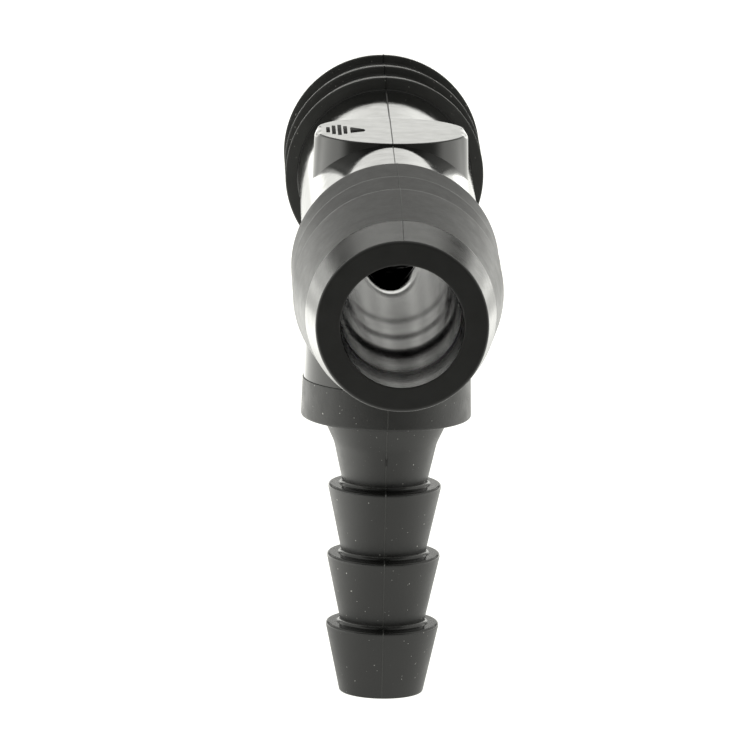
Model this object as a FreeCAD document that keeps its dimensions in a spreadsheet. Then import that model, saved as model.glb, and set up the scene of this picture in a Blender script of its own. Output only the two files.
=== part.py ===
import FreeCAD, Part
import Sketcher
import os

# Barbed reducing tee for irrigation hose, in millimetres.
#
# Frame: the origin is where the axis of the run crosses the axis of the branch. The run lies along Y, the branch
# points down along -Z, and the flat pad on top of the boss looks up along +Z.
#
# The real tee is one plastic moulding. Here it is divided where its section changes, into closed solids that meet
# face to face: the tube of the run, the boss that grips the tube, the collar and root of the branch, and every barb.

DIMENSIONS = {
    # run: a plain tube with three barbs at each end, the last of them drawn out into a nose
    "tube_radius": 6.45,
    "run_bore_radius": 4.0,
    "run_rim_radius": 7.4,
    "run_rim_land": 0.3,
    "run_foot_radius": 6.75,
    "run_first_shoulder": 18.2,
    "run_barb_pitch": 5.1,
    "nose_bend_radius": 6.65,
    "nose_bend_distance": 36.6,
    "nose_tip_radius": 6.0,
    "nose_tip_distance": 41.0,
    "mouth_chamfer": 0.3,
    # boss: a slightly drafted round post that the tube runs through, flat on top, with a collar at its lower end
    "pad_height": 6.6,
    "pad_radius": 5.6,
    "collar_radius": 6.2,
    "collar_bottom": 14.6,
    "mould_line": 11.7,
    "mould_step": 0.06,
    # branch: a root and three barbs on a narrower pipe
    "branch_bore_radius": 1.75,
    "port_edge_radius": 0.45,
    "branch_rim_radius": 4.15,
    "branch_rim_land": 0.25,
    "branch_foot_radius": 3.08,
    "branch_root_radius": 4.7,
    "root_waist_radius": 3.79,
    "root_flare_height": 1.95,
    "branch_first_shoulder": 19.7,
    "branch_barb_pitch": 5.2,
}

BARBS_PER_SPIGOT = 3

# Every outline below is turned about its own Y axis. These carry that axis onto the run's two ends and the branch.
TO_REAR = FreeCAD.Placement()
TO_FRONT = FreeCAD.Placement(FreeCAD.Vector(), FreeCAD.Rotation(FreeCAD.Vector(0, 0, 1), 180))
TO_BRANCH = FreeCAD.Placement(FreeCAD.Vector(), FreeCAD.Rotation(FreeCAD.Vector(1, 0, 0), -90))

# The boss narrows evenly from the collar up to the pad, so its radius at any depth below the axis of the run is this.
BOSS_DRAFT = "(Dim.collar_radius - Dim.pad_radius) / (Dim.pad_height + Dim.collar_bottom)"
BOSS_RADIUS_AT = "Dim.pad_radius + (Dim.pad_height + %s) * " + BOSS_DRAFT


def make_sheet(doc):
    """The driving dimensions, one named cell each."""
    sheet = doc.addObject("Spreadsheet::Sheet", "Dim")
    for row, (name, size) in enumerate(DIMENSIONS.items(), start=1):
        sheet.set("A%d" % row, name)
        sheet.set("B%d" % row, str(size))
        sheet.setAlias("B%d" % row, name)
    doc.recompute()
    return sheet


def origin_plane(body, role):
    """One of a body's own origin planes."""
    return next(plane for plane in body.Origin.OriginFeatures if plane.Role == role)


def new_sketch(body, name, role):
    """An empty sketch that lies on one of the body's origin planes."""
    sketch = body.newObject("Sketcher::SketchObject", name)
    sketch.AttachmentSupport = (origin_plane(body, role), [""])
    sketch.MapMode = "FlatFace"
    return sketch


def turned(doc, label, outline, placement):
    """A ring turned about its Y axis from a closed outline of (radius, distance along the axis) formulas."""
    body = doc.addObject("PartDesign::Body", label)
    sketch = new_sketch(body, label + "_outline", "XY_Plane")
    corners = [
        FreeCAD.Vector(float(doc.Dim.evalExpression(radius)), float(doc.Dim.evalExpression(distance)), 0)
        for radius, distance in outline
    ]
    for number, corner in enumerate(corners):
        sketch.addGeometry(Part.LineSegment(corner, corners[(number + 1) % len(corners)]))
    for number, (corner, formulas) in enumerate(zip(corners, outline)):
        following = (number + 1) % len(corners)
        sketch.addConstraint(Sketcher.Constraint("Coincident", number, 2, following, 1))
        for kind, size, formula in zip(("DistanceX", "DistanceY"), (corner.x, corner.y), formulas):
            bound = sketch.addConstraint(Sketcher.Constraint(kind, -1, 1, number, 1, size))
            sketch.setExpression("Constraints[%d]" % bound, formula)
    ring = body.newObject("PartDesign::Revolution", label + "_ring")
    ring.Profile = (sketch, [""])
    ring.ReferenceAxis = (sketch, ["V_Axis"])
    ring.Angle = 360
    body.Placement = placement
    return body


def round_sketch(body, name, role, radius):
    """A sketch of one circle about the origin, with its radius bound to a formula."""
    sketch = new_sketch(body, name, role)
    start = float(body.Document.Dim.evalExpression(radius))
    sketch.addGeometry(Part.Circle(FreeCAD.Vector(), FreeCAD.Vector(0, 0, 1), start))
    sketch.addConstraint(Sketcher.Constraint("Coincident", 0, 3, -1, 1))
    bound = sketch.addConstraint(Sketcher.Constraint("Radius", 0, start))
    sketch.setExpression("Constraints[%d]" % bound, radius)
    return sketch


def run_tube(doc):
    """The plain tube between the two inner shoulders, with the port of the branch through its floor."""
    body = doc.addObject("PartDesign::Body", "run_tube")
    wall = body.newObject("PartDesign::Pad", "tube_wall")
    wall.Profile = (round_sketch(body, "tube_outside", "XZ_Plane", "Dim.tube_radius"), [""])
    wall.SideType = "Symmetric"
    wall.setExpression("Length", "2 * Dim.run_first_shoulder")
    bore = body.newObject("PartDesign::Pocket", "tube_bore")
    bore.Profile = (round_sketch(body, "tube_inside", "XZ_Plane", "Dim.run_bore_radius"), [""])
    bore.SideType = "Symmetric"
    bore.setExpression("Length", "2 * Dim.run_first_shoulder")
    port = body.newObject("PartDesign::Pocket", "branch_port")
    port.Profile = (round_sketch(body, "port_outline", "XY_Plane", "Dim.branch_bore_radius"), [""])
    port.setExpression("Length", "2 * Dim.tube_radius")
    doc.recompute()
    lip = body.newObject("PartDesign::Fillet", "port_lip")
    lip.Base = (port, [inner_port_edge(doc, port.Shape)])
    lip.setExpression("Radius", "Dim.port_edge_radius")
    body.Tip = lip
    return body


def inner_port_edge(doc, shape):
    """The name of the edge where the port opens into the floor of the run's bore."""
    floor = -doc.Dim.run_bore_radius
    reach = doc.Dim.branch_bore_radius + 0.01
    for number, edge in enumerate(shape.Edges, start=1):
        box = edge.BoundBox
        around_the_port = max(abs(box.XMin), box.XMax, abs(box.YMin), box.YMax) < reach
        if around_the_port and box.ZMin > floor - 0.01 and box.ZMax < 0 and box.XLength > reach:
            return "Edge%d" % number
    raise RuntimeError("the port's inner edge is missing")


def barb(doc, label, shoulder, size, placement):
    """One barb: a square shoulder towards the middle of the tee, a short land, and a taper to the next foot."""
    start = "Dim.%s_first_shoulder + %d * Dim.%s_barb_pitch" % (size, shoulder, size)
    outline = [
        ("Dim.%s_bore_radius" % size, start),
        ("Dim.%s_rim_radius" % size, start),
        ("Dim.%s_rim_radius" % size, start + " + Dim.%s_rim_land" % size),
        ("Dim.%s_foot_radius" % size, start + " + Dim.%s_barb_pitch" % size),
        ("Dim.%s_bore_radius" % size, start + " + Dim.%s_barb_pitch" % size),
    ]
    return turned(doc, label, outline, placement)


def nose(doc, label, placement):
    """The outermost barb of the run: a long taper, then a steeper lead-in down to the mouth."""
    start = "Dim.run_first_shoulder + %d * Dim.run_barb_pitch" % (BARBS_PER_SPIGOT - 1)
    outline = [
        ("Dim.run_bore_radius", start),
        ("Dim.run_rim_radius", start),
        ("Dim.run_rim_radius", start + " + Dim.run_rim_land"),
        ("Dim.nose_bend_radius", "Dim.nose_bend_distance"),
        ("Dim.nose_tip_radius", "Dim.nose_tip_distance"),
        ("Dim.run_bore_radius + Dim.mouth_chamfer", "Dim.nose_tip_distance"),
        ("Dim.run_bore_radius", "Dim.nose_tip_distance - Dim.mouth_chamfer"),
    ]
    return turned(doc, label, outline, placement)


def spigot(doc, end, placement):
    """The barbs at one end of the run, from the tube outwards."""
    barbs = [
        barb(doc, "%s_barb_%d" % (end, number + 1), number, "run", placement)
        for number in range(BARBS_PER_SPIGOT - 1)
    ]
    return barbs + [nose(doc, end + "_nose", placement)]


def tube_space(doc, name):
    """The room that the tube takes up inside the boss."""
    space = doc.addObject("Part::Cylinder", name)
    space.setExpression("Radius", "Dim.tube_radius")
    space.setExpression("Height", "2 * Dim.run_first_shoulder")
    space.setExpression("Placement.Base.y", "-Dim.run_first_shoulder")
    space.Placement.Rotation = FreeCAD.Rotation(FreeCAD.Vector(1, 0, 0), -90)
    return space


def cut(doc, label, base, tool):
    """What is left of the base without the tool."""
    rest = doc.addObject("Part::Cut", label)
    rest.Base = base
    rest.Tool = tool
    return rest


def boss_top(doc):
    """The part of the boss above the tube, which ends in the flat pad."""
    post = doc.addObject("Part::Cone", "boss_top_post")
    post.setExpression("Radius1", BOSS_RADIUS_AT % "0")
    post.setExpression("Radius2", "Dim.pad_radius")
    post.setExpression("Height", "Dim.pad_height")
    return cut(doc, "boss_top", post, tube_space(doc, "boss_top_tube_space"))


def boss_bottom(doc):
    """The part of the boss under the tube, down to the mould line, with the bore of the branch through it."""
    post = doc.addObject("Part::Cone", "boss_bottom_post")
    post.setExpression("Radius1", BOSS_RADIUS_AT % "Dim.mould_line")
    post.setExpression("Radius2", BOSS_RADIUS_AT % "0")
    post.setExpression("Height", "Dim.mould_line")
    post.setExpression("Placement.Base.z", "-Dim.mould_line")
    bore = doc.addObject("Part::Cylinder", "boss_bottom_bore")
    bore.setExpression("Radius", "Dim.branch_bore_radius")
    bore.setExpression("Height", "2 * Dim.mould_line")
    bore.setExpression("Placement.Base.z", "-2 * Dim.mould_line")
    saddle = cut(doc, "boss_bottom_saddle", post, tube_space(doc, "boss_bottom_tube_space"))
    return cut(doc, "boss_bottom", saddle, bore)


def branch_collar(doc):
    """The lowest part of the boss, a hair wider than the rest, with a sharp lower edge."""
    outline = [
        ("Dim.branch_bore_radius", "Dim.mould_line"),
        (BOSS_RADIUS_AT % "Dim.mould_line" + " + Dim.mould_step", "Dim.mould_line"),
        ("Dim.collar_radius + Dim.mould_step", "Dim.collar_bottom"),
        ("Dim.branch_bore_radius", "Dim.collar_bottom"),
    ]
    return turned(doc, "branch_collar", outline, TO_BRANCH)


def branch_root(doc):
    """The tapered neck between the collar and the first barb of the branch, flared where it leaves the collar."""
    outline = [
        ("Dim.branch_bore_radius", "Dim.collar_bottom"),
        ("Dim.branch_root_radius", "Dim.collar_bottom"),
        ("Dim.root_waist_radius", "Dim.collar_bottom + Dim.root_flare_height"),
        ("Dim.branch_foot_radius", "Dim.branch_first_shoulder"),
        ("Dim.branch_bore_radius", "Dim.branch_first_shoulder"),
    ]
    return turned(doc, "branch_root", outline, TO_BRANCH)


def branch_barbs(doc):
    """The barbs of the branch, from the root downwards."""
    return [
        barb(doc, "branch_barb_%d" % (number + 1), number, "branch", TO_BRANCH)
        for number in range(BARBS_PER_SPIGOT)
    ]


def check(doc, pieces):
    """Stop if any feature failed, or if a piece isn't one sound solid."""
    for item in doc.Objects:
        if "Invalid" in item.State or "Error" in item.State:
            raise RuntimeError(item.Label + " failed: " + str(item.State))
    for piece in pieces:
        shape = piece.Shape
        if shape.isNull() or not shape.isValid() or len(shape.Solids) != 1:
            raise RuntimeError(piece.Label + " is not one valid solid")


def write(pieces):
    os.makedirs("parts", exist_ok=True)
    for piece in pieces:
        piece.Shape.exportStep("parts/" + piece.Label + ".step")
        print("%-16s %9.2f mm3" % (piece.Label, piece.Shape.Volume))


def main():
    doc = FreeCAD.newDocument("barbed_tee")
    make_sheet(doc)
    pieces = [run_tube(doc), boss_top(doc), boss_bottom(doc), branch_collar(doc), branch_root(doc)]
    pieces += branch_barbs(doc)
    pieces += spigot(doc, "front", TO_FRONT)
    pieces += spigot(doc, "rear", TO_REAR)
    doc.recompute()
    check(doc, pieces)
    write(pieces)


main()
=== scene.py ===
"""Looks of the barbed tee connector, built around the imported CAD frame.

Lengths are in millimetres until a mesh is made.
"""

import math

import bmesh
import bpy
import numpy as np
from mathutils import Matrix, Vector


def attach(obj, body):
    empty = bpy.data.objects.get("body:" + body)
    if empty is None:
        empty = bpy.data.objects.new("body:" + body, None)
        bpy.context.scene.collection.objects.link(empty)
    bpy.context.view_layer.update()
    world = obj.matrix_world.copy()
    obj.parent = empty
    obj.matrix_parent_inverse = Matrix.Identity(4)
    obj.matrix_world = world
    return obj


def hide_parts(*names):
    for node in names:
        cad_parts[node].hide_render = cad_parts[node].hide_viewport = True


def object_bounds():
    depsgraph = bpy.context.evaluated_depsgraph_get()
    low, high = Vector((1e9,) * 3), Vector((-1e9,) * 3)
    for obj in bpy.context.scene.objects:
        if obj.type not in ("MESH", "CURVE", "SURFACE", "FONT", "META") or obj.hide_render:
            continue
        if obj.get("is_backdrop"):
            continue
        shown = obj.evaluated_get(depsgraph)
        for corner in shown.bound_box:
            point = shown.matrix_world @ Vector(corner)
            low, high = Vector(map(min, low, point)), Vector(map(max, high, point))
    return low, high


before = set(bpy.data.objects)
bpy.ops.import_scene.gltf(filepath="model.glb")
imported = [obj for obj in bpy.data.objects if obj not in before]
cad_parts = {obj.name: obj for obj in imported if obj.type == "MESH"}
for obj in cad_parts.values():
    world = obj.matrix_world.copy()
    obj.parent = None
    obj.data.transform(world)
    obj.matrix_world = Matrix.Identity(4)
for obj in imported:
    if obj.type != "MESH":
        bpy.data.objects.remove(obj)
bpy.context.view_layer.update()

MM = 0.001
BODY = "root"

# The tee's dimensions, as the CAD has them.
TUBE_R = 6.45
TUBE_END = 18.2
BORE_R = 4.0
FOOT_R = 6.75
BARB_PITCH = 5.1
BEND_R = 6.65
BEND_S = 36.6
TIP_R = 6.0
TIP_S = 41.0
MOUTH_EDGE = 4.27
PAD_Z = 6.6
PAD_R = 5.6
COLLAR_R = 6.2
COLLAR_Z = 14.6
MOULD_Z = 11.7
MOULD_STEP = 0.06
PORT_R = 1.75
PORT_LIP = 0.30
B_RIM_R = 4.15
B_RIM_LAND = 0.25
B_FOOT_R = 3.08
B_ROOT_R = 4.7
B_WAIST_R = 3.79
B_FLARE = 1.95
B_FIRST = 19.7
B_PITCH = 5.2
BARBS = 3
DRAFT = (COLLAR_R - PAD_R) / (PAD_Z + COLLAR_Z)

# Fine sizes that only the looks have. The rims stand a hair proud of the CAD's.
RIM_R = 7.43
RIM_ROUND = 0.10
LOOK_LAND = 0.26
LAND_ROUND = 2.0
ROOT_FILLET = 0.12
BEND_ROUND = 6.0
TIP_ROUND = 0.22
MOUTH_DEPTH = 0.25
MOUTH_ROUND = 0.10
MOULD_ROUND = 0.03
COLLAR_ROUND = 0.16
WAIST_ROUND = 2.5
B_RIM_ROUND = 0.15
B_LAND_ROUND = 0.12
B_FILLET = 0.25
B_TIP_ROUND = 0.10
B_MOUTH_ROUND = 0.15
SEGMENTS = 256
SHARP_ANGLE = math.radians(38)

# How the wall of the bore leans outwards on the way to a mouth: (distance from the middle, degrees). It is nearly
# straight, with soft steps under the barbs where the thick wall sank.
BORE_START = 3.93
BORE_LEAN = (
    (0.0, 0.1),
    (16.8, 0.1),
    (18.5, 1.4),
    (20.2, -0.1),
    (22.8, -0.3),
    (24.3, 1.6),
    (26.0, -0.3),
    (28.1, -0.3),
    (30.1, 5.2),
    (31.9, 1.1),
    (33.4, 0.3),
    (34.6, 0.5),
    (36.7, 2.9),
    (38.4, 1.3),
    (39.3, -0.3),
    (41.0, -0.3),
)

# The oval sink at the port, over the mass of the boss: half width, length, and how it deepens from its rim.
DISH_X = 2.15
DISH_Y = 8.6
DISH_LEAN = 1.0
DISH_BEND = 3.2
DISH_STEEP = 13.0
DISH_BEAD = 0.035
DISH_BEAD_WIDTH = 1.5
DISH_FADE = (0.2, 2.4)


def smoothstep(x, a, b):
    """0 before a, 1 after b, and a smooth rise between them."""
    t = np.clip((x - a) / (b - a), 0, 1)
    return t * t * (3 - 2 * t)


def eased(x, knots):
    """A smooth curve through the knots, flat at each."""
    x = np.asarray(x, float)
    xs, ys = (np.array(k) for k in zip(*knots))
    i = np.clip(np.searchsorted(xs, x) - 1, 0, len(xs) - 2)
    return ys[i] + (ys[i + 1] - ys[i]) * smoothstep(x, xs[i], xs[i + 1])


# The bore's gain in radius, as its lean adds up on the way to a mouth.
LEAN_STEP = 0.02
LEAN_AT = np.arange(0, TIP_S + 1, LEAN_STEP)
BORE_GAIN = np.cumsum(np.tan(np.radians(eased(LEAN_AT, BORE_LEAN)))) * LEAN_STEP
REAR_SHARE = 0.3


def bore_radius(y):
    """Radius of the run's bore at that place along the run; the rear half, cooled more evenly, leans less."""
    gain = np.interp(np.abs(y), LEAN_AT, BORE_GAIN)
    return BORE_START + np.where(np.asarray(y) < 0, gain, REAR_SHARE * gain)


def dish(x, y):
    """How far the bore's floor sinks near the port, on the front side; just outside it a bead stands up."""
    inside = (1 - np.sqrt((x / DISH_X) ** 2 + (y / DISH_Y) ** 2)) * DISH_Y
    u = np.maximum(inside, 0)
    steep_at = (DISH_STEEP - DISH_LEAN) / DISH_BEND
    curved = np.minimum(u, steep_at)
    lean = np.radians(DISH_LEAN) * curved + np.radians(DISH_BEND) * curved**2 / 2
    lean = lean + np.radians(DISH_STEEP) * (u - curved)
    bead = DISH_BEAD * np.clip(1 + np.minimum(inside, 0) / DISH_BEAD_WIDTH, 0, 1) ** 2
    return (lean - bead) * (1 - smoothstep(y, *DISH_FADE))


def to_front(u, v, s):
    """Places points turned about an axis, at distance s along it, on the front end of the run."""
    return np.stack([u, -s, v], -1)


def to_rear(u, v, s):
    """The same, on the rear end of the run."""
    return np.stack([-u, s, v], -1)


def to_branch(u, v, s):
    """The same, down the branch."""
    return np.stack([u, v, -s], -1)


def corner(before, at, after, radius, steps=6):
    """The corner `at` between two straight sides, rounded to an arc of that radius."""
    p0, p1, p2 = (np.array(p, float) for p in (before, at, after))
    a = (p0 - p1) / np.linalg.norm(p0 - p1)
    b = (p2 - p1) / np.linalg.norm(p2 - p1)
    half = math.acos(np.clip(a @ b, -1, 1)) / 2
    reach = radius / math.tan(half)
    centre = p1 + (a + b) / np.linalg.norm(a + b) * radius / math.sin(half)
    start = p1 + a * reach - centre
    end = p1 + b * reach - centre
    sweep = math.acos(np.clip(start @ end / radius**2, -1, 1))
    out = []
    for k in range(steps + 1):
        t = k / steps
        spoke = math.sin((1 - t) * sweep) * start + math.sin(t * sweep) * end
        out.append(tuple(centre + spoke / math.sin(sweep)))
    return out


def supported(outline, reach=0.05):
    """The closed outline with two more points near the ends of each long side, to keep its corners' shading local."""
    out = []
    n = len(outline)
    for k in range(n):
        a = np.array(outline[k])
        b = np.array(outline[(k + 1) % n])
        out.append(tuple(a))
        length = np.linalg.norm(b - a)
        if length > 4 * reach:
            out.append(tuple(a + (b - a) * reach / length))
            out.append(tuple(b - (b - a) * reach / length))
    return out


def bore_points(s_from, s_to, sign, step=0.1):
    """Points down the run's bore between two distances from the middle, on the side of that sign."""
    count = max(2, int(abs(s_to - s_from) / step))
    s = np.linspace(s_from, s_to, count + 1)
    return [(float(a), float(b)) for a, b in zip(bore_radius(sign * s), s)]


def make(name, vertices, faces, materials, pick=None, node=None):
    """A closed mesh piece with outward normals, that rides on the body. pick gives each face its material's number."""
    mesh = bpy.data.meshes.new(name)
    mesh.from_pydata((np.asarray(vertices) * MM).tolist(), [], [list(map(int, f)) for f in faces])
    bm = bmesh.new()
    bm.from_mesh(mesh)
    bmesh.ops.recalc_face_normals(bm, faces=bm.faces)
    bm.to_mesh(mesh)
    bm.free()
    for m in materials:
        mesh.materials.append(m)
    if pick is not None:
        for p in mesh.polygons:
            p.material_index = pick(p.center / MM)
    mesh.shade_smooth()
    mesh.set_sharp_from_angle(angle=SHARP_ANGLE)
    obj = bpy.data.objects.new(name, mesh)
    bpy.context.scene.collection.objects.link(obj)
    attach(obj, BODY)
    if node:
        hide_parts(node)
    return obj


def turned(outline, place, segments=SEGMENTS):
    """Vertices and faces of a closed outline of (radius, distance) points, turned about its axis."""
    p = np.array(supported(outline))
    angle = np.arange(segments) * 2 * math.pi / segments
    u = np.outer(np.cos(angle), p[:, 0])
    v = np.outer(np.sin(angle), p[:, 0])
    s = np.outer(np.ones(segments), p[:, 1])
    vertices = place(u, v, s).reshape(-1, 3)
    n = len(p)
    i, j = np.meshgrid(np.arange(segments), np.arange(n), indexing="ij")
    i2, j2 = (i + 1) % segments, (j + 1) % n
    faces = np.stack([i * n + j, i2 * n + j, i2 * n + j2, i * n + j2], -1).reshape(-1, 4)
    return vertices, faces


# ---------------------------------------------------------------- materials

BASE = (0.0105, 0.0107, 0.0100)
# The shoulders' plastic is three times lighter than the rest: painted light, standing in for the light the shoulders
# catch.
SHOULDER_PAINTED_LIGHT_BASE = [3.0 * c for c in BASE]
DUST = (0.35, 0.35, 0.33, 1)
PLASTIC_IOR = 1.5
CLOUD_SIZE = 2.2
CLOUD_SHARE = 0.2
SMUDGE_SIZE = 1.1
SPECK_SIZE = 0.23
FEW_SPECKS = 0.045
MORE_SPECKS = 0.055


def plastic(name, base, roughness, spread, grain, grain_size, wave, wave_size, dust=0.0):
    """Moulded black plastic, where spread is how far the roughness varies.

    grain and wave are the heights of two bumps, and grain_size and wave_size their sizes. dust sets how many specks
    there are.
    """
    m = bpy.data.materials.new(name)
    m.use_nodes = True
    nodes, links = m.node_tree.nodes, m.node_tree.links
    nodes.clear()
    out = nodes.new("ShaderNodeOutputMaterial")
    bsdf = nodes.new("ShaderNodeBsdfPrincipled")
    links.new(bsdf.outputs["BSDF"], out.inputs["Surface"])
    bsdf.inputs["IOR"].default_value = PLASTIC_IOR
    coord = nodes.new("ShaderNodeTexCoord")

    def noise(size, detail=2.0, roughness_=0.5):
        n = nodes.new("ShaderNodeTexNoise")
        n.inputs["Scale"].default_value = 1 / (size * MM)
        n.inputs["Detail"].default_value = detail
        n.inputs["Roughness"].default_value = roughness_
        links.new(coord.outputs["Object"], n.inputs["Vector"])
        return n

    def spread_over(source, low, high, start=0.3, end=0.7):
        r = nodes.new("ShaderNodeMapRange")
        r.inputs["From Min"].default_value = start
        r.inputs["From Max"].default_value = end
        r.inputs["To Min"].default_value = low
        r.inputs["To Max"].default_value = high
        links.new(source, r.inputs["Value"])
        return r

    clouds = noise(CLOUD_SIZE, 3.0, 0.6)
    ramp = nodes.new("ShaderNodeValToRGB")
    ramp.color_ramp.elements[0].position = 0.3
    ramp.color_ramp.elements[1].position = 0.7
    ramp.color_ramp.elements[0].color = [c * (1 - CLOUD_SHARE) for c in base] + [1]
    ramp.color_ramp.elements[1].color = [c * (1 + CLOUD_SHARE) for c in base] + [1]
    links.new(clouds.outputs["Fac"], ramp.inputs["Fac"])
    colour = ramp.outputs["Color"]
    if dust:
        specks = noise(SPECK_SIZE, 1.0)
        few = spread_over(specks.outputs["Fac"], 0.0, 1.0, 0.80 - dust, 0.84 - dust)
        mix = nodes.new("ShaderNodeMix")
        mix.data_type = "RGBA"
        mix.inputs["B"].default_value = DUST
        links.new(few.outputs["Result"], mix.inputs["Factor"])
        links.new(colour, mix.inputs["A"])
        colour = mix.outputs["Result"]
    links.new(colour, bsdf.inputs["Base Color"])

    smudge = noise(SMUDGE_SIZE, 4.0, 0.65)
    rough = spread_over(smudge.outputs["Fac"], roughness - spread, roughness + spread)
    links.new(rough.outputs["Result"], bsdf.inputs["Roughness"])

    def bump(source, height, before=None):
        b = nodes.new("ShaderNodeBump")
        b.inputs["Strength"].default_value = 1.0
        b.inputs["Distance"].default_value = height * MM
        links.new(source, b.inputs["Height"])
        if before is not None:
            links.new(before.outputs["Normal"], b.inputs["Normal"])
        return b

    waves = bump(noise(wave_size, 1.0).outputs["Fac"], wave)
    grains = bump(noise(grain_size, 2.0, 0.6).outputs["Fac"], grain, waves)
    links.new(grains.outputs["Normal"], bsdf.inputs["Normal"])
    return m


# Name, colour, roughness and its spread, height and size of the grain, height and size of the waves, dust.
polished = plastic("polished_plastic", BASE, 0.09, 0.03, 0.0006, 0.15, 0.009, 2.6)
bore_gloss = plastic("bore_plastic", BASE, 0.15, 0.03, 0.0005, 0.20, 0.003, 2.5)
satin = plastic("satin_plastic", BASE, 0.38, 0.04, 0.0035, 0.12, 0.002, 2.8)
lead_in = plastic("lead_in_plastic", BASE, 0.21, 0.03, 0.0018, 0.12, 0.002, 2.8)
grainy = plastic("grained_plastic", BASE, 0.42, 0.06, 0.0090, 0.20, 0.004, 2.8, FEW_SPECKS)
branch_satin = plastic("branch_plastic", BASE, 0.38, 0.05, 0.0040, 0.14, 0.002, 2.8, FEW_SPECKS)
# The shoulders: a lighter copy of the same plastic, painted light, with more dust specks.
shoulder = plastic("shoulder_painted_light_plastic", SHOULDER_PAINTED_LIGHT_BASE, 0.50, 0.05, 0.0050, 0.16, 0.002, 2.8, MORE_SPECKS)
etched = plastic("etched_plastic", BASE, 0.80, 0.06, 0.0090, 0.15, 0.002, 2.8)


# ---------------------------------------------------------------- the run


def barb_outline(number, sign):
    """Closed outline of a barb of the run, on the side of that sign: shoulder, rim, taper and bore."""
    s0 = TUBE_END + number * BARB_PITCH
    s1 = s0 + BARB_PITCH
    rim_a = (RIM_R, s0)
    rim_b = (RIM_R, s0 + LOOK_LAND)
    foot = (FOOT_R, s1)
    return (
        corner((BORE_R, s0), rim_a, rim_b, RIM_ROUND)
        + corner(rim_a, rim_b, foot, LAND_ROUND, 4)
        + corner(rim_b, foot, (RIM_R, s1), ROOT_FILLET)
        + bore_points(s1, s0, sign)
    )


def nose_outline(sign):
    """Closed outline of the outermost barb of the run, whose taper bends in towards the mouth."""
    s0 = TUBE_END + (BARBS - 1) * BARB_PITCH
    rim_a = (RIM_R, s0)
    rim_b = (RIM_R, s0 + LOOK_LAND)
    bend = (BEND_R, BEND_S)
    tip = (TIP_R, TIP_S)
    lip_a = (MOUTH_EDGE, TIP_S)
    lip_b = (float(bore_radius(sign * TIP_S)), TIP_S - MOUTH_DEPTH)
    return (
        corner((BORE_R, s0), rim_a, rim_b, RIM_ROUND)
        + corner(rim_a, rim_b, bend, LAND_ROUND, 4)
        + corner(rim_b, bend, tip, BEND_ROUND, 8)
        + corner(bend, tip, lip_a, TIP_ROUND)
        + corner(tip, lip_a, lip_b, MOUTH_ROUND)
        + corner(lip_a, lip_b, (lip_b[0], s0), MOUTH_ROUND)
        + bore_points(TIP_S - MOUTH_DEPTH - MOUTH_ROUND, s0, sign)
    )


def run_finish(c):
    """Face picker for the run's barbs: the bore, the smoother lead-in past the bend, the shoulders with their
    painted-lighter plastic, or the rest.
    """
    r = math.hypot(c.x, c.z)
    s = abs(c.y)
    if r < MOUTH_EDGE - 0.02 and s < TIP_S - 0.04:
        return 1
    if BEND_S - 0.1 < s < TIP_S - 0.12:
        return 2
    at_shoulder = any(abs(s - TUBE_END - n * BARB_PITCH) < 0.01 for n in range(BARBS))
    return 3 if at_shoulder else 0


for end, place, sign in (("front", to_front, -1), ("rear", to_rear, 1)):
    for number in range(BARBS - 1):
        v, f = turned(barb_outline(number, sign), place)
        node = "%s_barb_%d" % (end, number + 1)
        make(node + "_fine", v, f, [satin, bore_gloss, lead_in, shoulder], run_finish, node)
    v, f = turned(nose_outline(sign), place)
    taper = satin if end == "front" else lead_in
    make(end + "_nose_fine", v, f, [taper, bore_gloss, lead_in, shoulder], run_finish, end + "_nose")


PATCH = 4.0
TAIL = np.array([0, 0.02, 0.05, 0.09, 0.14, 0.2, 0.3])
FRONT_ROWS = 90
REAR_ROWS = 50
BORE_RINGS = 16
OUTSIDE_RINGS = 4
LIP_STEPS = 12


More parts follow.
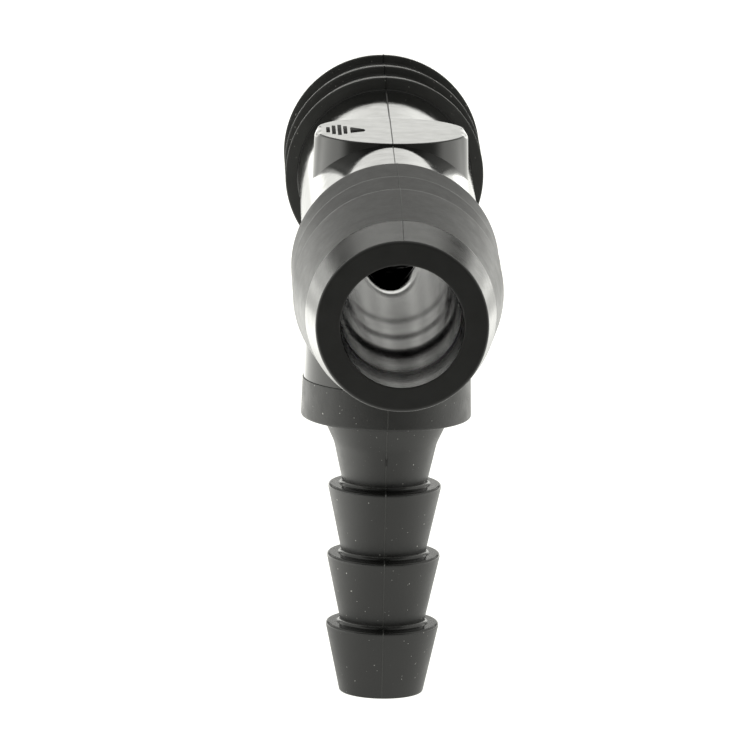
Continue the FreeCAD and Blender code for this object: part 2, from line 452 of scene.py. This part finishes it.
def run_tube():
    """The straight tube: outside and bore as fine grids, each with a patch that leaves room for the port."""
    n = SEGMENTS
    half = n // 8  # the patch reaches this many columns either side of the lowest line
    side = 2 * half
    tail = TUBE_END - TAIL
    y = np.concatenate(
        [
            -tail,
            np.linspace(-tail[-1], -PATCH, FRONT_ROWS)[1:-1],
            np.linspace(-PATCH, PATCH, side + 1),
            np.linspace(PATCH, tail[-1], REAR_ROWS)[1:-1],
            tail[::-1],
        ]
    )
    flare = np.clip(1 - (TUBE_END - np.abs(y)) / ROOT_FILLET, 0, 1)
    outside_r = TUBE_R + ROOT_FILLET * (1 - np.sqrt(1 - flare**2))
    inside_r = bore_radius(y)
    m = len(y)
    first = int(np.argmin(np.abs(y + PATCH)))
    angle = -math.pi / 2 + (np.arange(n) - half) * 2 * math.pi / n

    vertices, faces = [], []

    def sunk(a, yy):
        """Depth of the sink at angle a about the run, which is only in the lower half."""
        return np.where(np.sin(a) < 0, dish(BORE_R * np.cos(a), yy), 0)

    def grid(radius, sinks):
        """Rows of vertices all round, with the sink or without; returns the number of the first."""
        start = len(vertices)
        for a in angle:
            r = radius + sunk(a, y) if sinks else radius
            vertices.extend(zip(r * math.cos(a), y, r * math.sin(a)))
        return start

    def quads(start, flip):
        """The faces of one grid, except where its patch is."""
        for i in range(n):
            i2 = (i + 1) % n
            for k in range(m - 1):
                if i < side and first <= k < first + side:
                    continue
                q = [start + i * m + k, start + i2 * m + k, start + i2 * m + k + 1, start + i * m + k + 1]
                faces.append(q[::-1] if flip else q)

    out0 = grid(outside_r, False)
    in0 = grid(inside_r, True)
    quads(out0, False)
    quads(in0, True)
    for k in (0, m - 1):
        for i in range(n):
            i2 = (i + 1) % n
            faces.append([out0 + i * m + k, out0 + i2 * m + k, in0 + i2 * m + k, in0 + i * m + k])

    # The patch's border, walked once round, as grid columns and rows.
    walk = [(c, 0) for c in range(side)] + [(side, r) for r in range(side)]
    walk += [(side - c, side) for c in range(side)] + [(0, side - r) for r in range(side)]
    border_angle = np.array([2 * math.pi / n * (c - half) for c, r in walk])
    border_y = np.array([y[first + r] for c, r in walk])
    away = np.stack([border_angle * BORE_R, border_y], -1)
    away = away / np.linalg.norm(away, axis=1)[:, None]
    nx, ny = away[:, 0], away[:, 1]

    def ring_between(start, radius, hole_angle, hole_y, rings, sinks):
        """Rings of vertices on a cylinder from the patch's border to the hole; returns the innermost ring."""
        last = [start + c * m + first + r for c, r in walk]
        for step in range(1, rings + 1):
            t = step / rings
            a = border_angle * (1 - t) + hole_angle * t
            yy = border_y * (1 - t) + hole_y * t
            here = list(range(len(vertices), len(vertices) + len(walk)))
            r = bore_radius(yy) + sunk(a - math.pi / 2, yy) if sinks else radius + 0 * a
            vertices.extend(zip(r * np.sin(a), yy, -r * np.cos(a)))
            join(last, here)
            last = here
        return last

    def join(a, b):
        """The faces between two rings."""
        for p in range(len(a)):
            p2 = (p + 1) % len(a)
            faces.append([a[p], a[p2], b[p2], b[p]])

    def ring(points):
        """One ring of new vertices."""
        here = list(range(len(vertices), len(vertices) + len(points)))
        vertices.extend(tuple(q) for q in points)
        return here

    # The lip is the path of a ball that touches the port's wall and the bore.
    lip = PORT_LIP
    cx = (PORT_R + lip) * nx
    cy = (PORT_R + lip) * ny
    floor_r = bore_radius(cy) + dish(cx, cy)
    cz = -np.sqrt((floor_r + lip) ** 2 - cx**2)
    centre = np.stack([cx, cy, cz], -1)
    d0 = np.stack([-nx, -ny, 0 * cx], -1)
    d1 = -np.stack([cx, 0 * cx, cz], -1) / (floor_r + lip)[:, None]
    sweep = np.arccos(np.clip((d0 * d1).sum(-1), -1, 1))[:, None]
    contact = centre + lip * d1
    contact_angle = np.arctan2(contact[:, 0], -contact[:, 2])
    last = ring_between(in0, None, contact_angle, contact[:, 1], BORE_RINGS, True)
    for t in np.linspace(1, 0, LIP_STEPS + 1)[1:]:
        d = (np.sin((1 - t) * sweep) * d0 + np.sin(t * sweep) * d1) / np.sin(sweep)
        here = ring(centre + lip * d)
        join(last, here)
        last = here
    wall_x = PORT_R * nx
    wall_y = PORT_R * ny
    floor_z = -np.sqrt(TUBE_R**2 - wall_x**2)
    for t in (0.05, 0.5):
        here = ring(np.stack([wall_x, wall_y, cz * (1 - t) + floor_z * t], -1))
        join(last, here)
        last = here
    hole = ring_between(out0, TUBE_R, np.arctan2(wall_x, -floor_z), wall_y, OUTSIDE_RINGS, False)
    join(last, hole)

    def pick(c):
        return 1 if math.hypot(c.x, c.z) < BORE_R + 0.3 or math.hypot(c.x, c.y) < PORT_R + 0.1 else 0

    return make("run_tube_fine", vertices, faces, [polished, bore_gloss], pick, "run_tube")


run_tube()


# ---------------------------------------------------------------- the boss

NEAR_PORT = 2.0


def in_branch_bore(c):
    """Face picker: 1 inside the bore of the branch, 0 outside it."""
    return 1 if math.hypot(c.x, c.y) < NEAR_PORT else 0



TOP_EDGE = 0.08
CORNER_EDGE = 0.45
CORNERS = (0.93, 1.0)


def draft_radius(depth):
    """Radius of the boss at that depth below the run's axis; its wall leans by the mould's draft."""
    return PAD_R + (PAD_Z + depth) * DRAFT


def meet(cos_t, sign):
    """Height where the boss meets the tube, for the cosine of a heading, above (sign 1) or below (-1) the axis."""
    z = sign * np.sqrt(TUBE_R**2 - (draft_radius(0) * cos_t) ** 2)
    for _ in range(12):
        z = sign * np.sqrt(TUBE_R**2 - (draft_radius(-z) * cos_t) ** 2)
    return z


def closed_rings(rings, capped_start, capped_end):
    """Vertices and faces of rings joined one after another. Each end is capped to a point, or else the ends join."""
    n = len(rings[0])
    vertices = [tuple(p) for r in rings for p in r]
    faces = []
    count = len(rings)
    pairs = [(k, k + 1) for k in range(count - 1)]
    if capped_start is None and capped_end is None:
        pairs.append((count - 1, 0))
    for a, b in pairs:
        for i in range(n):
            i2 = (i + 1) % n
            faces.append([a * n + i, a * n + i2, b * n + i2, b * n + i])
    for k, wanted in ((0, capped_start), (count - 1, capped_end)):
        if wanted is not None:
            centre = len(vertices)
            vertices.append(tuple(wanted))
            for i in range(n):
                faces.append([k * n + i, k * n + (i + 1) % n, centre])
    return vertices, faces


def boss_top():
    """The upper part of the boss, from its seat on the tube to the flat pad; the pad's edge is rounder at its sides."""
    t = np.arange(SEGMENTS) * 2 * math.pi / SEGMENTS
    c, s = np.cos(t), np.sin(t)
    low = meet(c, 1)
    edge = TOP_EDGE + CORNER_EDGE * smoothstep(np.abs(c), *CORNERS)
    rings = []

    def at(z):
        r = draft_radius(-z)
        rings.append(np.stack([r * c, r * s, z * np.ones_like(t)], -1))

    # The seat on the tube, from its middle outwards.
    for k in np.linspace(0.1, 1, 8):
        x = k * draft_radius(-low) * c
        rings.append(np.stack([x, k * draft_radius(-low) * s, np.sqrt(TUBE_R**2 - x**2)], -1))
    top_of_wall = PAD_Z - edge
    for k in (0.04, 0.12, 0.3, 0.5, 0.7, 0.88, 0.97):
        at(low + k * (top_of_wall - low))
    for k in np.linspace(0, 1, 9):
        a = k * math.pi / 2
        r = draft_radius(-top_of_wall) - edge * (1 - math.cos(a))
        rings.append(np.stack([r * c, r * s, top_of_wall + edge * math.sin(a)], -1))
    rim = draft_radius(-top_of_wall) - edge
    for k in (0.985, 0.9, 0.75, 0.55, 0.3, 0.1):
        rings.append(np.stack([k * rim * c, k * rim * s, PAD_Z * np.ones_like(t)], -1))
    v, f = closed_rings(rings, (0, 0, TUBE_R), (0, 0, PAD_Z))
    return make("boss_top_fine", v, f, [polished], None, "boss_top")


def boss_bottom():
    """The lower part of the boss, from its seat under the tube to the mould line, with the branch's bore through it."""
    t = np.arange(SEGMENTS) * 2 * math.pi / SEGMENTS
    c, s = np.cos(t), np.sin(t)
    low = meet(c, -1)
    rings = []
    inner = -np.sqrt(TUBE_R**2 - (PORT_R * c) ** 2)
    for k in np.linspace(0, 1, 8):
        r = PORT_R + k * (draft_radius(-low) - PORT_R)
        x = r * c
        rings.append(np.stack([x, r * s, -np.sqrt(TUBE_R**2 - x**2)], -1))
    for k in (0.01, 0.05, 0.2, 0.35, 0.5, 0.65, 0.8, 0.92, 0.985):
        z = low + k * (-MOULD_Z - low)
        r = draft_radius(-z)
        rings.append(np.stack([r * c, r * s, z], -1))
    end_r = draft_radius(MOULD_Z)
    for r, z in ((end_r, MOULD_Z - 0.02), (end_r - MOULD_ROUND, MOULD_Z), (PORT_R, MOULD_Z)):
        rings.append(np.stack([r * c, r * s, -z * np.ones_like(t)], -1))
    for k in (0.05, 0.5, 0.95):
        z = -MOULD_Z * (1 - k) + inner * k
        rings.append(np.stack([PORT_R * c, PORT_R * s, z], -1))
    v, f = closed_rings(rings, None, None)
    return make("boss_bottom_fine", v, f, [polished, bore_gloss], in_branch_bore, "boss_bottom")


boss_top()
boss_bottom()


# ---------------------------------------------------------------- the branch

RIM_BAND = 0.16
FILLET_BAND = 0.2


def collar_outline():
    """Closed outline of the collar, which starts with the small step of the mould line."""
    top = draft_radius(MOULD_Z) + MOULD_STEP
    bottom = draft_radius(COLLAR_Z) + MOULD_STEP
    a, b = (top, MOULD_Z), (bottom, COLLAR_Z)
    return (
        [(PORT_R, MOULD_Z)]
        + corner((PORT_R, MOULD_Z), a, b, MOULD_ROUND, 3)
        + corner(a, b, (PORT_R, COLLAR_Z), COLLAR_ROUND)
        + [(PORT_R, COLLAR_Z)]
    )


def root_outline():
    """Closed outline of the root: a flare under the collar, then a taper to the first barb."""
    a = (B_ROOT_R, COLLAR_Z)
    b = (B_WAIST_R, COLLAR_Z + B_FLARE)
    foot = (B_FOOT_R, B_FIRST)
    return (
        [(PORT_R, COLLAR_Z), a]
        + corner(a, b, foot, WAIST_ROUND, 8)
        + corner(b, foot, (B_RIM_R, B_FIRST), B_FILLET)
        + [(PORT_R, B_FIRST)]
    )


def branch_barb_outline(number):
    """Closed outline of a barb of the branch; the last one ends in the rounded tip."""
    s0 = B_FIRST + number * B_PITCH
    s1 = s0 + B_PITCH
    rim_a, rim_b, foot = (B_RIM_R, s0), (B_RIM_R, s0 + B_RIM_LAND), (B_FOOT_R, s1)
    inner, mouth = (PORT_R, s0), (PORT_R, s1)
    start = [inner] + corner(inner, rim_a, rim_b, B_RIM_ROUND) + corner(rim_a, rim_b, foot, B_LAND_ROUND, 4)
    if number == BARBS - 1:
        return start + corner(rim_b, foot, mouth, B_TIP_ROUND) + corner(foot, mouth, inner, B_MOUTH_ROUND)
    return start + corner(rim_b, foot, (B_RIM_R, s1), B_FILLET) + [mouth]


def branch_finish(c):
    """Face picker for the branch: the bore, the smoother shoulders, fillets and rims, or the tapers."""
    if in_branch_bore(c):
        return 1
    past_rim = (-c.z - B_FIRST) % B_PITCH
    near_rim = past_rim < RIM_BAND or past_rim > B_PITCH - FILLET_BAND
    return 2 if near_rim and -c.z > B_FIRST - 0.3 else 0


v, f = turned(collar_outline(), to_branch)
make("branch_collar_fine", v, f, [grainy, bore_gloss], in_branch_bore, "branch_collar")
v, f = turned(root_outline(), to_branch)
make("branch_root_fine", v, f, [branch_satin, bore_gloss, lead_in], branch_finish, "branch_root")
for number in range(BARBS):
    v, f = turned(branch_barb_outline(number), to_branch)
    node = "branch_barb_%d" % (number + 1)
    make(node + "_fine", v, f, [branch_satin, bore_gloss, lead_in], branch_finish, node)


# ---------------------------------------------------------------- marks left by the mould

# Where the parting lines start inside the boss and under the tube, and how far they run over the pad.
INSIDE_BOSS = 5.0
UNDER_TUBE = 7.0
PAD_LINE = 5.45

# The gate's scar on the front of the root, from its top to its bottom.
GATE = [(-3.62, -17.1), (-3.6, -17.25), (-3.52, -17.6), (-3.46, -17.75)]


def ridge(name, path, radius, material):
    """A thin closed bead along a path of (y, z) points in the plane that parts the mould."""
    p = np.array(path, float)
    ahead = np.vstack([p[1:] - p[:-1], p[-1:] - p[-2:-1]])
    back = np.vstack([p[1:2] - p[:1], p[1:] - p[:-1]])
    along = ahead / np.linalg.norm(ahead, axis=1)[:, None] + back / np.linalg.norm(back, axis=1)[:, None]
    along = along / np.linalg.norm(along, axis=1)[:, None]
    rings = []
    a = np.arange(8) * math.pi / 4
    across, up = radius * np.cos(a), radius * np.sin(a)
    for (y, z), (ty, tz) in zip(p, along):
        rings.append(np.stack([across, y - tz * up, z + ty * up], -1))
    v, f = closed_rings(rings, (0, *p[0]), (0, *p[-1]))
    return make(name, v, f, [material])


def spigot_path(sign):
    """The parting line over the top of one end of the run, from the boss outwards; it fades out on the rear nose."""
    points = [(INSIDE_BOSS, TUBE_R)]
    for number in range(BARBS):
        s0 = TUBE_END + number * BARB_PITCH
        points += [(s0, TUBE_R if number == 0 else FOOT_R), (s0, RIM_R), (s0 + LOOK_LAND, RIM_R - 0.01)]
    if sign < 0:
        points += [(BEND_S, BEND_R), (TIP_S - 0.3, TIP_R + 0.03)]
    return [(sign * s, z) for s, z in points]


def branch_path():
    """The parting line down the front of the boss and the branch."""
    points = [(draft_radius(d), d) for d in (UNDER_TUBE, MOULD_Z)]
    points += [(draft_radius(d) + MOULD_STEP, d) for d in (MOULD_Z, COLLAR_Z - 0.1)]
    points += [(B_ROOT_R, COLLAR_Z + 0.03), (B_WAIST_R + 0.02, COLLAR_Z + B_FLARE)]
    for number in range(BARBS):
        s0 = B_FIRST + number * B_PITCH
        points += [(B_FOOT_R + 0.03, s0 - 0.05), (B_RIM_R + 0.05, s0 + 0.03), (B_RIM_R, s0 + B_RIM_LAND)]
    points += [(B_FOOT_R, B_FIRST + BARBS * B_PITCH - 0.1)]
    return [(-r, -d) for r, d in points]


ridge("parting_rear", spigot_path(1), 0.055, satin)
ridge("parting_front", spigot_path(-1), 0.035, satin)
# The pad's and the branch's parting beads use the shoulders' plastic, painted lighter as painted light.
ridge("parting_pad", [(y, PAD_Z - 0.02) for y in (-PAD_LINE, 0.0, PAD_LINE)], 0.05, shoulder)
ridge("parting_branch", branch_path(), 0.045, shoulder)
ridge("gate_mark", GATE, 0.10, etched)


BEVEL = 0.86


def plate(name, outline, low, high, material):
    """A flat closed plate with a bevelled top, from an outline of (x, y) points."""
    p = np.array(outline, float)
    middle = p.mean(axis=0)
    inner = middle + (p - middle) * BEVEL
    rings = []
    for ring, z in ((p, low), (p, 0.4 * low + 0.6 * high), (inner, high)):
        rings.append(np.column_stack([ring, np.full(len(ring), z)]))
    v, f = closed_rings(rings, (*middle, low), (*middle, high))
    return make(name, v, f, [material])


# A plain raised mark on the pad: four short bars and an arrow head.
MARK_LOW = PAD_Z - 0.1
MARK_HIGH = PAD_Z + 0.09
FIRST_BAR = -4.62
BAR_PITCH = 0.42
BAR_HALF = 0.14
BAR_LENGTHS = (0.7, 1.5, 1.9, 1.3)
ARROW = [(-3.0, -0.8), (-1.9, 0.0), (-3.0, 0.8)]

for number, length in enumerate(BAR_LENGTHS):
    x = FIRST_BAR + BAR_PITCH * number
    left, right = x - BAR_HALF, x + BAR_HALF
    bar = [(left, -length), (right, -length), (right, length), (left, length)]
    plate("mark_bar_%d" % (number + 1), bar, MARK_LOW, MARK_HIGH, etched)
plate("mark_arrow", ARROW, MARK_LOW, MARK_HIGH, etched)


# ---------------------------------------------------------------- studio

TINT = (1.0, 1.0, 0.955)

# Brightness of the light tent by elevation in degrees: (elevation, brightness) stops.
SWEEP = ((-90, 1.8), (-4, 1.9), (1, 1.6), (8, 2.0), (10.7, 1.75), (12.4, 0.5), (13.6, 0.07), (90, 0.07))
SWEEP_SIDES = (
    (-90, 1.2),
    (-4, 1.1),
    (2, 0.8),
    (6, 1.3),
    (9, 2.0),
    (10.7, 1.75),
    (12.4, 0.5),
    (13.6, 0.07),
    (90, 0.07),
)
ABOVE = ((-90, 0.1), (25.0, 0.06), (27.4, 1.7), (36, 0.8), (60, 0.6), (90, 0.8))
SIDES = ((-90, 1.2), (0, 1.15), (40, 1.0), (70, 0.8), (90, 0.8))
FRONT = ((-90, 0.5), (-2, 0.08), (4, 0.2), (40, 0.25), (70, 0.6), (90, 0.8))
BRIGHTEST = 3.0

# The sweep's edges sink as they curve round to the sides, by this many degrees for each degree of bearing.
LOW_EDGE_SINK = 0.17
HIGH_EDGE_SINK = 0.30

# Where the tent's parts blend: bearings from straight behind, or how far a direction points behind, from -1 to +1.
SWEEP_TO_SIDES = (9.0, 18.0)
FRONT_TO_SIDES = (-0.75, -0.25)
SIDES_TO_BEHIND = (0.35, 0.8)

# What the camera sees past the object.
WHITE_WALL = 1.25
WHITE_FLOOR = 1.15

# Brightness of the table: (start, end, brightness at the start, brightness at the end), along X or Y in metres.
TABLE_HALF = 3.0
NEAR = (-0.17, 0.0, 0.06, 1.0)
FAR = (0.31, 0.48, 0.0, 2.4)
FAR_LEFT_SHARE = (-0.13, -0.05, 0.3, 1.0)
FAR_RIGHT_SHARE = (0.05, 0.13, 1.0, 0.4)
LEFT = (-0.010, -0.045, 0.0, 1.5)
RIGHT = (0.015, 0.07, 0.0, 1.0)
BESIDE_START = (-0.14, -0.02, 0.0, 1.0)
BESIDE_END = (0.15, 0.20, 1.0, 0.1)


def lit_world():
    """A light tent: a bright sweep low behind the object, a dim band above it, bright sides, and a dark camera side."""
    world = bpy.data.worlds.new("light_tent")
    bpy.context.scene.world = world
    world.use_nodes = True
    nodes, links = world.node_tree.nodes, world.node_tree.links
    nodes.clear()
    out = nodes.new("ShaderNodeOutputWorld")
    back = nodes.new("ShaderNodeBackground")
    links.new(back.outputs["Background"], out.inputs["Surface"])
    coord = nodes.new("ShaderNodeTexCoord")
    split = nodes.new("ShaderNodeSeparateXYZ")
    links.new(coord.outputs["Generated"], split.inputs["Vector"])

    def math_node(op, a, b=None):
        n = nodes.new("ShaderNodeMath")
        n.operation = op
        for k, x in enumerate((a, b)):
            if x is None:
                continue
            if isinstance(x, (int, float)):
                n.inputs[k].default_value = x
            else:
                links.new(x, n.inputs[k])
        return n.outputs["Value"]

    elevation = math_node("MULTIPLY", math_node("ARCSINE", split.outputs["Z"]), 180 / math.pi)
    flat = math_node("SQRT", math_node("SUBTRACT", 1.0, math_node("POWER", split.outputs["Z"], 2.0)))
    toward = math_node("DIVIDE", split.outputs["Y"], math_node("MAXIMUM", flat, 0.001))

    bearing = math_node("MULTIPLY", math_node("ARCCOSINE", toward), 180 / math.pi)
    low_edge = math_node("ADD", elevation, math_node("MULTIPLY", bearing, LOW_EDGE_SINK))
    high_edge = math_node("ADD", elevation, math_node("MULTIPLY", bearing, HIGH_EDGE_SINK))

    def profile(stops, height):
        """Brightness at that height, through a curve of (elevation, brightness) stops."""
        r = nodes.new("ShaderNodeMapRange")
        r.inputs["From Min"].default_value = -90
        r.inputs["From Max"].default_value = 90
        links.new(height, r.inputs["Value"])
        c = nodes.new("ShaderNodeFloatCurve")
        curve = c.mapping.curves[0]
        pts = [((e + 90) / 180, b / BRIGHTEST) for e, b in stops]
        while len(curve.points) < len(pts):
            curve.points.new(0.5, 0.5)
        for p, (x, y) in zip(curve.points, pts):
            p.location = (x, y)
            p.handle_type = "VECTOR"
        c.mapping.update()
        links.new(r.outputs["Result"], c.inputs["Value"])
        return math_node("MULTIPLY", c.outputs["Value"], BRIGHTEST)

    sweep = profile(SWEEP, low_edge)
    sweep_sides = profile(SWEEP_SIDES, low_edge)
    above = profile(ABOVE, high_edge)
    sides = profile(SIDES, elevation)
    front = profile(FRONT, elevation)

    def smooth(x, low, high):
        """0 below low, 1 above high, and a smooth rise between them."""
        r = nodes.new("ShaderNodeMapRange")
        r.interpolation_type = "SMOOTHSTEP"
        r.inputs["From Min"].default_value = low
        r.inputs["From Max"].default_value = high
        links.new(x, r.inputs["Value"])
        return r.outputs["Result"]

    def blend(a, b, factor):
        n = nodes.new("ShaderNodeMix")
        n.data_type = "FLOAT"
        links.new(factor, n.inputs["Factor"])
        links.new(a, n.inputs["A"])
        links.new(b, n.inputs["B"])
        return n.outputs["Result"]

    behind = math_node("MAXIMUM", blend(sweep, sweep_sides, smooth(bearing, *SWEEP_TO_SIDES)), above)
    level = blend(front, sides, smooth(toward, *FRONT_TO_SIDES))
    level = blend(level, behind, smooth(toward, *SIDES_TO_BEHIND))
    path = nodes.new("ShaderNodeLightPath")
    white = nodes.new("ShaderNodeValue")
    white.outputs[0].default_value = WHITE_WALL
    level = blend(level, white.outputs[0], path.outputs["Is Camera Ray"])
    back.inputs["Color"].default_value = (*TINT, 1)
    links.new(level, back.inputs["Strength"])


def light_table():
    """A plain pale floor, lit from below, that dims towards the camera's side."""
    low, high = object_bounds()
    z = low[2]
    size = TABLE_HALF
    mesh = bpy.data.meshes.new("floor")
    mesh.from_pydata([(-size, -size, z), (size, -size, z), (size, size, z), (-size, size, z)], [], [(0, 1, 2, 3)])
    floor = bpy.data.objects.new("floor", mesh)
    bpy.context.scene.collection.objects.link(floor)
    floor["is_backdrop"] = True
    m = bpy.data.materials.new("light_table")
    m.use_nodes = True
    nodes, links = m.node_tree.nodes, m.node_tree.links
    bsdf = nodes["Principled BSDF"]
    bsdf.inputs["Base Color"].default_value = (0.3, 0.3, 0.29, 1)
    bsdf.inputs["Roughness"].default_value = 0.9
    bsdf.inputs["Specular IOR Level"].default_value = 0.1
    bsdf.inputs["Emission Color"].default_value = (*TINT, 1)
    place = nodes.new("ShaderNodeNewGeometry")
    split = nodes.new("ShaderNodeSeparateXYZ")
    links.new(place.outputs["Position"], split.inputs["Vector"])

    def ramp(source, start, end, low, high):
        """Brightness that goes from low to high between two places on the table."""
        r = nodes.new("ShaderNodeMapRange")
        r.interpolation_type = "SMOOTHSTEP"
        r.inputs["From Min"].default_value = start
        r.inputs["From Max"].default_value = end
        r.inputs["To Min"].default_value = low
        r.inputs["To Max"].default_value = high
        links.new(source, r.inputs["Value"])
        return r.outputs["Result"]

    def combine(op, a, b):
        n = nodes.new("ShaderNodeMath")
        n.operation = op
        links.new(a, n.inputs[0])
        links.new(b, n.inputs[1])
        return n.outputs["Value"]

    x, y = split.outputs["X"], split.outputs["Y"]
    far_share = combine("MULTIPLY", ramp(x, *FAR_LEFT_SHARE), ramp(x, *FAR_RIGHT_SHARE))
    far = combine("MULTIPLY", ramp(y, *FAR), far_share)
    beside = combine("ADD", ramp(x, *LEFT), ramp(x, *RIGHT))
    beside = combine("MULTIPLY", beside, ramp(y, *BESIDE_START))
    beside = combine("MULTIPLY", beside, ramp(y, *BESIDE_END))
    total = combine("ADD", ramp(y, *NEAR), far)
    total = combine("ADD", total, beside)
    path = nodes.new("ShaderNodeLightPath")
    mix = nodes.new("ShaderNodeMix")
    mix.data_type = "FLOAT"
    mix.inputs["B"].default_value = WHITE_FLOOR
    links.new(path.outputs["Is Camera Ray"], mix.inputs["Factor"])
    links.new(total, mix.inputs["A"])
    links.new(mix.outputs["Result"], bsdf.inputs["Emission Strength"])
    mesh.materials.append(m)


CAMERA_AZIMUTH = math.radians(-1.426)
CAMERA_ELEVATION = math.radians(10.418)
CAMERA_ROLL = math.radians(1.0646)
CAMERA_DISTANCE = 731.69
CAMERA_AIM = Vector((-0.785, 0.0, -11.692))
SENSOR_WIDTH = 36
FOCAL_LENGTH = 478.72


def camera():
    """The photograph's viewing angle: nearly along the run from the front, a little above it, through a long lens."""
    level = math.cos(CAMERA_ELEVATION)
    back = Vector((math.sin(CAMERA_AZIMUTH) * level, -math.cos(CAMERA_AZIMUTH) * level, math.sin(CAMERA_ELEVATION)))
    place = back * CAMERA_DISTANCE
    ahead = (CAMERA_AIM - place).normalized()
    flat_right = ahead.cross(Vector((0, 0, 1))).normalized()
    flat_up = flat_right.cross(ahead)
    right = flat_right * math.cos(CAMERA_ROLL) + flat_up * math.sin(CAMERA_ROLL)
    up = flat_up * math.cos(CAMERA_ROLL) - flat_right * math.sin(CAMERA_ROLL)
    data = bpy.data.cameras.new("camera")
    data.sensor_width = SENSOR_WIDTH
    data.lens = FOCAL_LENGTH
    data.clip_start = 0.05
    data.clip_end = 50
    data.dof.use_dof = False
    cam = bpy.data.objects.new("camera", data)
    bpy.context.scene.collection.objects.link(cam)
    turn = Matrix((right, up, -ahead)).transposed().to_4x4()
    cam.matrix_world = Matrix.Translation(place * MM) @ turn
    bpy.context.scene.camera = cam


lit_world()
light_table()
camera()
bpy.context.scene.view_settings.view_transform = "Standard"
